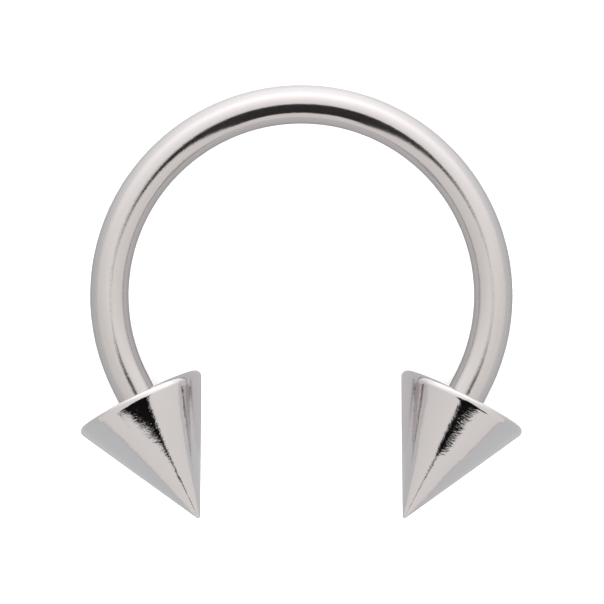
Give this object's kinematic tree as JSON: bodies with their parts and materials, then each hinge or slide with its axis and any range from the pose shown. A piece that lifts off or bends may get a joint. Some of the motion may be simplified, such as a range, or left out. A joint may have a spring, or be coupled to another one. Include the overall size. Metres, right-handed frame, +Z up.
{
  "type": "circular barbell",
  "caption": "Open ring of round steel bar, worn through a piercing, with a cone-shaped spike that screws on to each end.",
  "frame": {"origin": "on the surface that the ring lies on, under the middle of its outline", "axes": "+X across both spikes, from the left one to the right one; +Y from the spikes' tips towards the closed end of the ring; +Z up from the surface"},
  "size_m": [0.0182, 0.0178, 0.0055],
  "materials": {
    "bar_steel": "mirror polished round bar",
    "spike_steel": "polished, with fine turning marks"
  },
  "bodies": {
    "bar": {"bar": "bar_steel"},
    "left_spike": {"left_spike": "spike_steel"},
    "right_spike": {"right_spike": "spike_steel"}
  },
  "joints": [
    {"name": "left_spike_unscrew", "type": "slide", "parent": "bar", "child": "left_spike", "axis": [0.4509, -0.8816, 0.1398], "range_m": [0, 0.003]},
    {"name": "right_spike_unscrew", "type": "slide", "parent": "bar", "child": "right_spike", "axis": [-0.4509, -0.8816, 0.1398], "range_m": [0, 0.003]}
  ]
}
